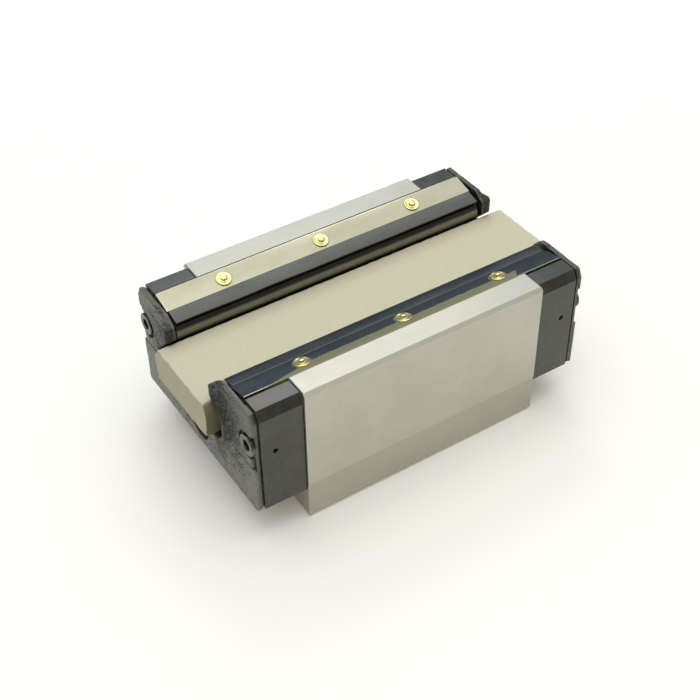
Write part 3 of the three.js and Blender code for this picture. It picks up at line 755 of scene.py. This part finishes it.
def make_lip(side_name, side):
    """The rubber lip that runs along the strip's inner edge."""
    root = STRIP_LOW.y - 0.06
    outline = [
        (root, strip_top(root) + 0.16, 0.28), (LIP_LOW.y, 56.85, 0.3), (LIP_LOW.y, 56.35, 0.2),
        (20.3, 56.15, 0.5), (root, strip_top(root) - STRIP_THICKNESS, 0.1),
    ]
    lip = along_x("lip", outline, rounded_ends(-LIP.x, LIP.x, 0.1, 2), 0.1, 4)
    slice_up(lip, 1.5, (0,))

    def waver(point):
        free = max(0, (root - point.y) / (root - LIP_LOW.y))
        wave = noise.noise(Vector((point.x * 0.06, 3 * side, 0)))
        return (0, 0.10 * free * wave, 0.16 * free * wave)

    bend(lip, waver)
    settle(mirror(lip, side), f"lip_seal_{side_name}", LIP_RUBBER)


def make_strip_screws(side_name, side):
    """Brass screws with a wide stepped flange and a raised round centre."""
    profile = [
        (0, -4), (1.1, -4), (1.2, -3.8), (1.2, 0), (3.0, 0), (3.1, 0.08), (3.1, 0.34), (3.0, 0.46),
        (2.82, 0.52), (2.6, 0.52), (2.5, 0.46), (1.5, 0.42), (1.38, 0.46), (1.3, 0.6), (1.28, 1.15),
        (1.2, 1.36), (1.0, 1.48), (0.6, 1.55), (0, 1.58),
    ]
    for x, place_name in screw_places():
        centre = Vector((x, STRIP_SCREW_Y, strip_top(STRIP_SCREW_Y) + 0.1))
        screw = lathe("screw", profile, centre, strip_axis(), 48)
        settle(mirror(screw, side), f"strip_screw_{side_name}_{place_name}", BRASS)


# ---- roller loops
def loop_length(row):
    return 2 * (2 * BODY.x + turn_length(row))


def turn_radius(row):
    return (Vector(row["back"]) - Vector(row["race"])).length / 2


def turn_length(row):
    return math.pi * turn_radius(row)


def loop_frame(row, distance):
    """Centre, outward direction and roller axis at a distance along a loop of rollers."""
    race = Vector((0, *row["race"]))
    back = Vector((0, *row["back"]))
    lateral = (back - race).normalized()
    travel = Vector((1, 0, 0))
    plane = travel.cross(lateral)
    radius = turn_radius(row)
    turn = turn_length(row)
    straight = 2 * BODY.x
    place = distance % loop_length(row)
    if place < straight:
        along, angle = place - BODY.x, 0
    elif place < straight + turn:
        along, angle = BODY.x, (place - straight) / radius
    elif place < 2 * straight + turn:
        along, angle = BODY.x - (place - straight - turn), math.pi
    else:
        along, angle = -BODY.x, math.pi + (place - 2 * straight - turn) / radius
    radial = -math.cos(angle) * lateral + math.sin(angle) * travel
    centre = (race + back) / 2 + radial * radius + travel * along
    roll = row["tilt"] * (1 + math.cos(angle)) / 2
    outward = radial * math.cos(roll) + plane * math.sin(roll)
    across = -radial * math.sin(roll) + plane * math.cos(roll)
    return centre, outward, across


def loop_ring(row, distance, half_thickness, low, high):
    """A square ring round the loop, from low to high along the roller axis."""
    centre, outward, across = loop_frame(row, distance)
    corners = [(1, high), (1, low), (-1, low), (-1, high)]
    return [centre + outward * u * half_thickness + across * w for u, w in corners]


def make_chain(side_name, side, row_name, row):
    """Round rollers between resin spacers, which two thin side bands join into one loop."""
    length = loop_length(row)
    count = int(length / ROLLER_PITCH)
    pitch = length / count
    half = ROLLER_HALF_LENGTH
    radius = ROLLER_RADIUS
    mesh = bmesh.new()
    roller = [
        (0, -half), (radius - 0.35, -half), (radius - 0.1, -half + 0.1), (radius, -half + 0.35),
        (radius, half - 0.35), (radius - 0.1, half - 0.1), (radius - 0.35, half), (0, half),
    ]
    for i in range(count):
        centre, _, across = loop_frame(row, (i + 0.5) * pitch)
        add_lathe(mesh, roller, centre, across, 24)
        middle = i * pitch
        heights = [-1.5, -0.8, 0, 0.8, 1.5]
        rings = []
        for w in (-half - 0.06, half + 0.06):
            ring = []
            for sign in (-1, 1):
                for h in heights[::sign]:
                    reach = pitch / 2 - math.sqrt(radius ** 2 - h ** 2) - 0.12
                    centre, outward, across = loop_frame(row, middle + sign * reach)
                    ring.append(centre + outward * h + across * w)
            rings.append(ring)
        add_loft(mesh, rings, material=1)
    steps = 4 * count
    for low, high in ((-half - 0.35, -half - 0.05), (half + 0.05, half + 0.35)):
        rings = [loop_ring(row, k * length / steps, 0.7, low, high) for k in range(steps)]
        add_loft(mesh, rings, looped=True, material=1)
    chain = to_object("chain", mesh)
    settle(mirror(chain, side), f"roller_chain_{side_name}_{row_name}", ROLLER, RESIN)


def make_tube(side_name, side, row_name, row):
    """Plastic liner of a return bore, with a slot in which the rollers run."""
    y, z = row["back"]
    low = -BODY.x + 0.1
    tube = along_x("tube", circle(TUBE_RADIUS, y, z, 56), rounded_ends(low, -low, 0.2, 2))
    start = 2 * BODY.x + turn_length(row)
    rings = [loop_ring(row, start + k * 2 * BODY.x, 2.95, -2.75, 2.75) for k in (0.0001, 0.9999)]
    for ring, x in zip(rings, (BODY.x + 1, -BODY.x - 1)):
        for corner in ring:
            corner.x = x
    combine(tube, loft("tool", rings))
    soften(tube, 0.1)
    settle(mirror(tube, side), f"return_tube_{side_name}_{row_name}", RESIN)


def circle(radius, y, z, segments):
    angles = [2 * math.pi * k / segments for k in range(segments)]
    return [Vector((y + radius * math.cos(a), z + radius * math.sin(a))) for a in angles]


def turn_tool(row):
    """The space inside an end cap for the rollers' half turn."""
    turn = turn_length(row)
    start = 2 * BODY.x
    stops = [-3] + [turn * k / 24 for k in range(25)] + [turn + 3]
    return loft("tool", [loop_ring(row, start + stop, ROLLER_RADIUS + 0.4, -2.9, 2.9) for stop in stops])


NOSES = [(27.9, 50.6, 2.2), (29.25, 33.5, 1.6)]


def make_guide(end_name, end, side_name, side):
    """Two half-round noses, one inside each turn of a leg, on a web that lies on the steel."""
    face = CAP_LOW.x
    guide = block((face, 27.4, 33.5), (face + 1.5, 29.4, 50.6))
    for y, z, radius in NOSES:
        nose = drum(radius, -2.4, 2.4, (face, y, z), (0, 0, 1), 40)
        combine(nose, block((face, y - 5, z - 5), (face + 5, y + 5, z + 5)), "INTERSECT")
        combine(guide, nose, "UNION")
    soften(guide, 0.15)
    settle(mirror(guide, side, end), f"return_guide_{end_name}_{side_name}", RESIN)


def make_retainers(side_name, side):
    """Bars that keep the rollers in: one between the two rows, one under the lip."""
    middle = [(27.6, 34.8), (27.6, 46.6), (24.9, 49.3), (22.9, 47.3), (22.9, 38.1), (26.9, 34.1)]
    bar = along_x("bar", middle, rounded_ends(-MIDDLE.x, MIDDLE.x, 0.3), 0.5)
    settle(mirror(bar, side), f"middle_retainer_{side_name}", RESIN)
    face = TIP_LOW.y
    tip = [
        (face, TIP_LOW.z, 0.1), (face + 0.25, TIP_LOW.z + 0.05, 0.1), (20.65, 53.8), (22.9, 55.9, 0.2),
        (20.2, 55.5), (face + 0.6, 54.5, 0.7), (face + 0.02, 52, 4),
    ]
    bar = along_x("bar", tip, rounded_ends(-TIP.x, TIP.x, 0.3), 0.3, 6)
    slice_up(bar, 1.5, (0,))

    def uneven(point):
        wave = noise.noise(Vector((point.x * 0.09, 5 * side, point.z * 0.15)))
        return (0, 0.06 * wave, 0)

    bend(bar, uneven)
    settle(mirror(bar, side), f"tip_retainer_{side_name}", BAR_RESIN)


# ---- end assemblies
def cap_outline():
    side, top, bottom = CAP.y, CAP.z, CAP_LOW.z
    seat = strip_top(STRIP.y) - STRIP_THICKNESS - 0.2
    return both_sides([
        (0, bottom, 0), (side - 0.6, bottom), (side, bottom + 0.6), (side, top - 4), (side - 2, top),
        (STRIP.y + 0.7, top, 0.2), (STRIP.y + 0.7, seat, 0.1), *CAP_OPENING,
    ])


def make_cap(end_name, end):
    """The moulded cap, with the turns of the rollers, the screw bores and the lubrication port."""
    outer = CAP.x - LAND_DEPTH
    stations = [
        (CAP_LOW.x, 0.05), (CAP_LOW.x + 0.1, 0), (outer - 0.3, 0), (outer - 0.08, 0.1), (outer, 0.3),
        (outer, LAND_INSET), (CAP.x - 0.1, LAND_INSET), (CAP.x, LAND_INSET + 0.1),
    ]
    cap = along_x("cap", cap_outline(), stations, 0.35)
    # These cuts keep the faces in the channel's mouth from bridging it.
    cut_faces(cap, [(2, 32 * MM), (1, 0)])
    for side in SIDES.values():
        for row in ROWS.values():
            combine(cap, mirror(turn_tool(row), side))
        near, far = sorted((side * 27.1, side * 29.7))
        combine(cap, block((CAP_LOW.x - 1, near, 33.2), (CAP_LOW.x + 1.9, far, 50.9)))
        for y, z, radius in NOSES:
            centre = (CAP_LOW.x, side * y, z)
            combine(cap, drum(radius + 0.3, -2.7, 2.7, centre, (0, 0, 1), 40))
        combine(cap, rod(END_BORE, CAP_LOW.x - 1, CAP.x + 1, side * END_SCREW_Y, END_SCREW_Z))
        pin = [(0, -2.4), (0.95, -1.9), (0.95, 0.05), (1.2, 0.3), (1.2, 1), (0, 1)]
        combine(cap, lathe("tool", pin, (62, side * (CAP.y - 0.2), 40.3), (0, side, 0), 32))
    inner, step, outside = CAP_LOW.x - 1, CAP.x - 1.5, CAP.x + 1
    port = [
        (0, inner), (GREASE_BORE, inner), (GREASE_BORE, step), (PORT_BORE, step), (PORT_BORE, outside),
        (0, outside),
    ]
    combine(cap, lathe("tool", port, (0, 0, PORT_Z), segments=48))
    soften(cap, 0.12)
    settle(mirror(cap, 1, end), f"end_cap_{end_name}", CAP_PLASTIC)


def make_plug(end_name, end):
    """Screw plug with a hexagon socket at the bottom of the port."""
    low, high, radius = PLUG_LOW.x, PLUG.x, (PLUG.z - PLUG_LOW.z) / 2
    edge = 0.3
    profile = [
        (0, low), (radius - edge, low), (radius, low + edge), (radius, high - edge), (radius - edge, high),
        (0, high),
    ]
    plug = lathe("plug", profile, (0, 0, PORT_Z), segments=40)
    combine(plug, hexagon_tool(1.5, high - 1.8, high + 1, 0, PORT_Z))
    soften(plug, 0.08)
    settle(mirror(plug, 1, end), f"lube_plug_{end_name}", DARK_SCREW)


def hexagon_tool(half_flats, low, high, y, z):
    """A hexagon socket with a coned bottom."""
    corner = half_flats / math.cos(math.pi / 6)
    tip = [(0, low - 0.8), (corner, low), (corner, high), (0, high)]
    return lathe("tool", tip, (0, y, z), segments=6)


def seal_outline():
    side, top, bottom = SEAL.y, SEAL.z, SEAL_LOW.z
    return both_sides([
        (0, bottom, 0), (side - 1, bottom, 0.4), (side, bottom + 1, 0.4), (side, top - 3.6),
        (side - 1.8, top), (20.6, top), *SEAL_OPENING,
    ])


def make_seal_plate(end_name, end):
    low, high = PLATE_LOW.x, PLATE.x
    plate = along_x("plate", seal_outline(), [(low, 0.25), (low + 0.1, 0.15), (high, 0.15)], 0.5)
    for side in SIDES.values():
        combine(plate, rod(END_BORE, low - 1, high + 1, side * END_SCREW_Y, END_SCREW_Z))
    combine(plate, rod(SEAL_PORT_BORE, low - 1, high + 1, 0, PORT_Z, 64))
    clean(plate)
    settle(mirror(plate, 1, end), f"seal_plate_{end_name}", SHEET)


def seal_tools(side):
    """What is cut out of the seal at a screw: the head's pocket, the stepped-back edge and a slit."""
    low, high = PLATE.x - 0.01, SEAL_FACE + 1
    profile = [(0, low), (HEAD_POCKET, low), (HEAD_POCKET + 0.4, high), (0, high)]
    yield lathe("tool", profile, (0, side * END_SCREW_Y, END_SCREW_Z), segments=64)
    for reach, bottom, top in ((40.1, 34.1, 50.6), (30.4, 34.1, 34.75)):
        near, far = sorted((side * reach, side * (SEAL.y + 2)))
        yield block((low, near, bottom), (high, far, top))


def make_seal(end_name, end):
    """The rubber end seal: a sheet that swells to a proud wiping lip round the rail opening."""
    stations = [(PLATE.x, 0), (SEAL_FACE - 0.35, 0), (SEAL_FACE - 0.1, 0.1), (SEAL_FACE, 0.3)]
    sheet = along_x("sheet", seal_outline(), stations, 0.5)
    for side in SIDES.values():
        for tool in seal_tools(side):
            combine(sheet, tool)
    combine(sheet, rod(SEAL_PORT_BORE, PLATE.x - 1, SEAL.x + 1, 0, PORT_Z, 64))
    soften(sheet, 0.12, 2, 50)
    slice_up(sheet, 0.9, (1, 2))
    opening = [Vector(point[:2]) for point in SEAL_OPENING]
    screw = Vector((END_SCREW_Y, END_SCREW_Z))
    ridge = SEAL.x - SEAL_FACE - 0.1

    def swell(point):
        spot = Vector((abs(point.y), point.z))
        away = outline_distance(spot, opening)
        lift = (point.x - PLATE.x) / (SEAL_FACE - PLATE.x)
        width = 3.0 + 2.2 * smoothstep(34, 42, point.z)
        rise = ridge * (1 - smoothstep(1.6, width, away)) * (0.8 + 0.2 * smoothstep(0, 0.9, away))
        calm = 0.15 + 0.85 * smoothstep(5, 9, (spot - screw).length)
        wave = noise.noise(Vector((end * 7, point.y * 0.22, point.z * 0.22)))
        fine = noise.noise(Vector((end * 3, point.y * 0.75, point.z * 0.75)))
        ripple = calm * (0.15 * wave + 0.09 * fine - 0.08)
        return ((rise + ripple) * lift, 0.10 * fine * lift * calm, 0.10 * wave * lift * calm)

    bend(sheet, swell)
    from_lip = sheet.data.attributes.new("from_lip", "FLOAT", "POINT")
    for i, vert in enumerate(sheet.data.vertices):
        spot = Vector((abs(vert.co.y), vert.co.z)) / MM
        from_lip.data[i].value = outline_distance(spot, opening)
    settle(mirror(sheet, 1, end), f"end_seal_{end_name}", SEAL_RUBBER, angle=50)


def smoothstep(low, high, value):
    t = min(1, max(0, (value - low) / (high - low)))
    return t * t * (3 - 2 * t)


def outline_distance(spot, line):
    """Shortest distance from a spot to an open line of points."""
    best = 1e9
    for a, b in zip(line, line[1:]):
        way = b - a
        t = min(1, max(0, (spot - a).dot(way) / way.length_squared))
        best = min(best, (spot - a - way * t).length)
    return best


def make_end_screw(end_name, end, side_name, side):
    """Low-head screw with a hexagon socket."""
    base, top = PLATE.x + 0.02, HEAD.x
    shank_end = HEAD_LOW.x
    wide = HEAD_RADIUS
    profile = [
        (0, shank_end), (2.0, shank_end), (2.4, shank_end + 0.4), (2.4, base), (wide - 0.1, base),
        (wide, base + 0.1), (wide, top - 0.35), (wide - 0.08, top - 0.12), (wide - 0.3, top), (2.75, top),
        (2.55, top - 0.15), (0, top - 0.15),
    ]
    screw = lathe("screw", profile, (0, END_SCREW_Y, END_SCREW_Z), segments=56)
    combine(screw, hexagon_tool(2.0, top - 1.4, top + 1, END_SCREW_Y, END_SCREW_Z))
    soften(screw, 0.06)
    settle(mirror(screw, side, end), f"end_screw_{end_name}_{side_name}", DARK_SCREW)


# ---- dummy rail
def make_dummy():
    """Loose board with bowed sides, worn edges and a nick at the front top corner."""
    top, bottom, side = DUMMY.z, DUMMY_LOW.z, DUMMY.y
    half = [
        (0, bottom, 0), (side - 1.4, bottom, 0.5), (side - 0.6, 39), (side, 43.5), (side - 0.5, 46),
        (side - 2.5, 48.7, 0.4), (side - 3, top, 0.5), (0, top, 0),
    ]
    board = along_x("board", both_sides(half), rounded_ends(DUMMY_LOW.x, DUMMY.x, 0.45), 2.5, 4)
    slice_up(board, 1.0, (0, 1, 2))

    def worn(point):
        rub = noise.noise(point * 0.35) + 0.8 * noise.noise(point * 0.9)
        edge = smoothstep(1.6, 0, abs(point.x - DUMMY_LOW.x)) + smoothstep(1.6, 0, abs(point.x - DUMMY.x))
        edge += smoothstep(2.0, 0, abs(abs(point.y) - (side - 3))) * smoothstep(top - 1.5, top, point.z)
        inward = Vector((-math.copysign(1, point.x), -math.copysign(0.4, point.y), -0.7))
        depth = 0.24 * edge * max(0, 0.45 + rub)
        nick = smoothstep(2.2, 0, (point - Vector((DUMMY_LOW.x, 8.5, top))).length)
        return inward * depth + Vector((0.5, 0, -0.5)) * nick

    bend(board, worn)
    settle(board, "dummy_rail", BOARD, body="dummy")


# ---- assembly
make_body()
for side_name, side in SIDES.items():
    make_strip(side_name, side)
    make_lip(side_name, side)
    make_strip_screws(side_name, side)
    make_retainers(side_name, side)
    for row_name, row in ROWS.items():
        make_chain(side_name, side, row_name, row)
        make_tube(side_name, side, row_name, row)
for end_name, end in ENDS.items():
    make_cap(end_name, end)
    make_plug(end_name, end)
    make_seal_plate(end_name, end)
    make_seal(end_name, end)
    for side_name, side in SIDES.items():
        make_guide(end_name, end, side_name, side)
        make_end_screw(end_name, end, side_name, side)
make_dummy()


# ---- floor, light and camera
# Each wall is a list of heights, as the sine of the elevation, with the light's colour there.
CEILING = [
    (0.70, (1.2, 1.2, 1.18)), (0.89, (1.25, 1.24, 1.20)), (0.94, (2.3, 2.28, 2.2)), (1.0, (2.6, 2.6, 2.5)),
]
FRONT_WALL = [(0.0, (0.10, 0.09, 0.07)), (0.5, (0.09, 0.085, 0.075)), (0.62, (0.3, 0.3, 0.29)), *CEILING]
BACK_WALL = [
    (0.0, (0.03, 0.05, 0.09)), (0.30, (0.035, 0.065, 0.145)), (0.45, (0.07, 0.14, 0.25)),
    (0.57, (0.25, 0.45, 0.62)),
    (0.64, (0.42, 0.52, 0.57)), *CEILING,
]
CEILING_PEAK = 2.6
FLOOR_HALF = 2500
SOFTBOX_PLACE = (0.512, 0.886, 1.097)
SOFTBOX_SIZE = (0.60, 0.32)
SOFTBOX_POWER = 2.2
LENS = 66.03
CAMERA_PLACE = Vector((-201.66, -308.74, 351.34))
CAMERA_RIGHT = Vector((0.83781, -0.54583, -0.01183))
CAMERA_FORWARD = Vector((0.40163, 0.63087, -0.66385))


def make_floor():
    half = FLOOR_HALF
    corners = [(-half, -half), (half, -half), (half, half), (-half, half)]
    floor = loft("floor", [[(x, y, z) for x, y in corners] for z in (-2, -0.02)])
    floor.data.materials.append(pale_floor())


def make_world():
    """A bright ceiling over dim walls: warm at the front, cool at the back."""
    world = bpy.data.worlds.new("studio")
    world.use_nodes = True
    bpy.context.scene.world = world
    tree = world.node_tree
    background = tree.nodes["Background"]
    coordinate = tree.nodes.new("ShaderNodeTexCoord")
    direction = tree.nodes.new("ShaderNodeSeparateXYZ")
    tree.links.new(coordinate.outputs["Generated"], direction.inputs[0])
    depth = tree.nodes.new("ShaderNodeMapRange")
    depth.inputs["From Min"].default_value = -0.5
    depth.inputs["From Max"].default_value = 0.5
    tree.links.new(direction.outputs["Y"], depth.inputs["Value"])
    mixed = tree.nodes.new("ShaderNodeMix")
    mixed.data_type = "RGBA"
    tree.links.new(depth.outputs["Result"], mixed.inputs[0])
    for stops, socket in ((FRONT_WALL, mixed.inputs[6]), (BACK_WALL, mixed.inputs[7])):
        ramp = tree.nodes.new("ShaderNodeValToRGB")
        tree.links.new(direction.outputs["Z"], ramp.inputs[0])
        for i, (place, colour) in enumerate(stops):
            stop = ramp.color_ramp.elements[i] if i < 2 else ramp.color_ramp.elements.new(place)
            stop.position = place
            stop.color = (*[value / CEILING_PEAK for value in colour], 1)
        tree.links.new(ramp.outputs[0], socket)
    tree.links.new(mixed.outputs[2], background.inputs[0])
    background.inputs[1].default_value = CEILING_PEAK


def make_softbox():
    """A rectangular light that points at the origin."""
    data = bpy.data.lights.new("softbox", "AREA")
    data.shape = "RECTANGLE"
    data.size, data.size_y = SOFTBOX_SIZE
    data.energy = SOFTBOX_POWER
    lamp = bpy.data.objects.new("softbox", data)
    lamp.location = SOFTBOX_PLACE
    lamp.rotation_mode = "QUATERNION"
    lamp.rotation_quaternion = (-Vector(SOFTBOX_PLACE)).to_track_quat("-Z", "Y")
    bpy.context.scene.collection.objects.link(lamp)


def make_camera():
    data = bpy.data.cameras.new("camera")
    data.sensor_width = 36
    data.lens = LENS
    data.clip_start = 0.01
    data.clip_end = 20
    camera = bpy.data.objects.new("camera", data)
    up = CAMERA_RIGHT.cross(CAMERA_FORWARD).normalized()
    turn = Matrix((CAMERA_RIGHT, up, -CAMERA_FORWARD)).transposed().to_4x4()
    camera.matrix_world = Matrix.Translation(CAMERA_PLACE * MM) @ turn
    bpy.context.scene.collection.objects.link(camera)
    bpy.context.scene.camera = camera


make_floor()
make_world()
make_softbox()
make_camera()
bpy.context.scene.view_settings.view_transform = "Standard"
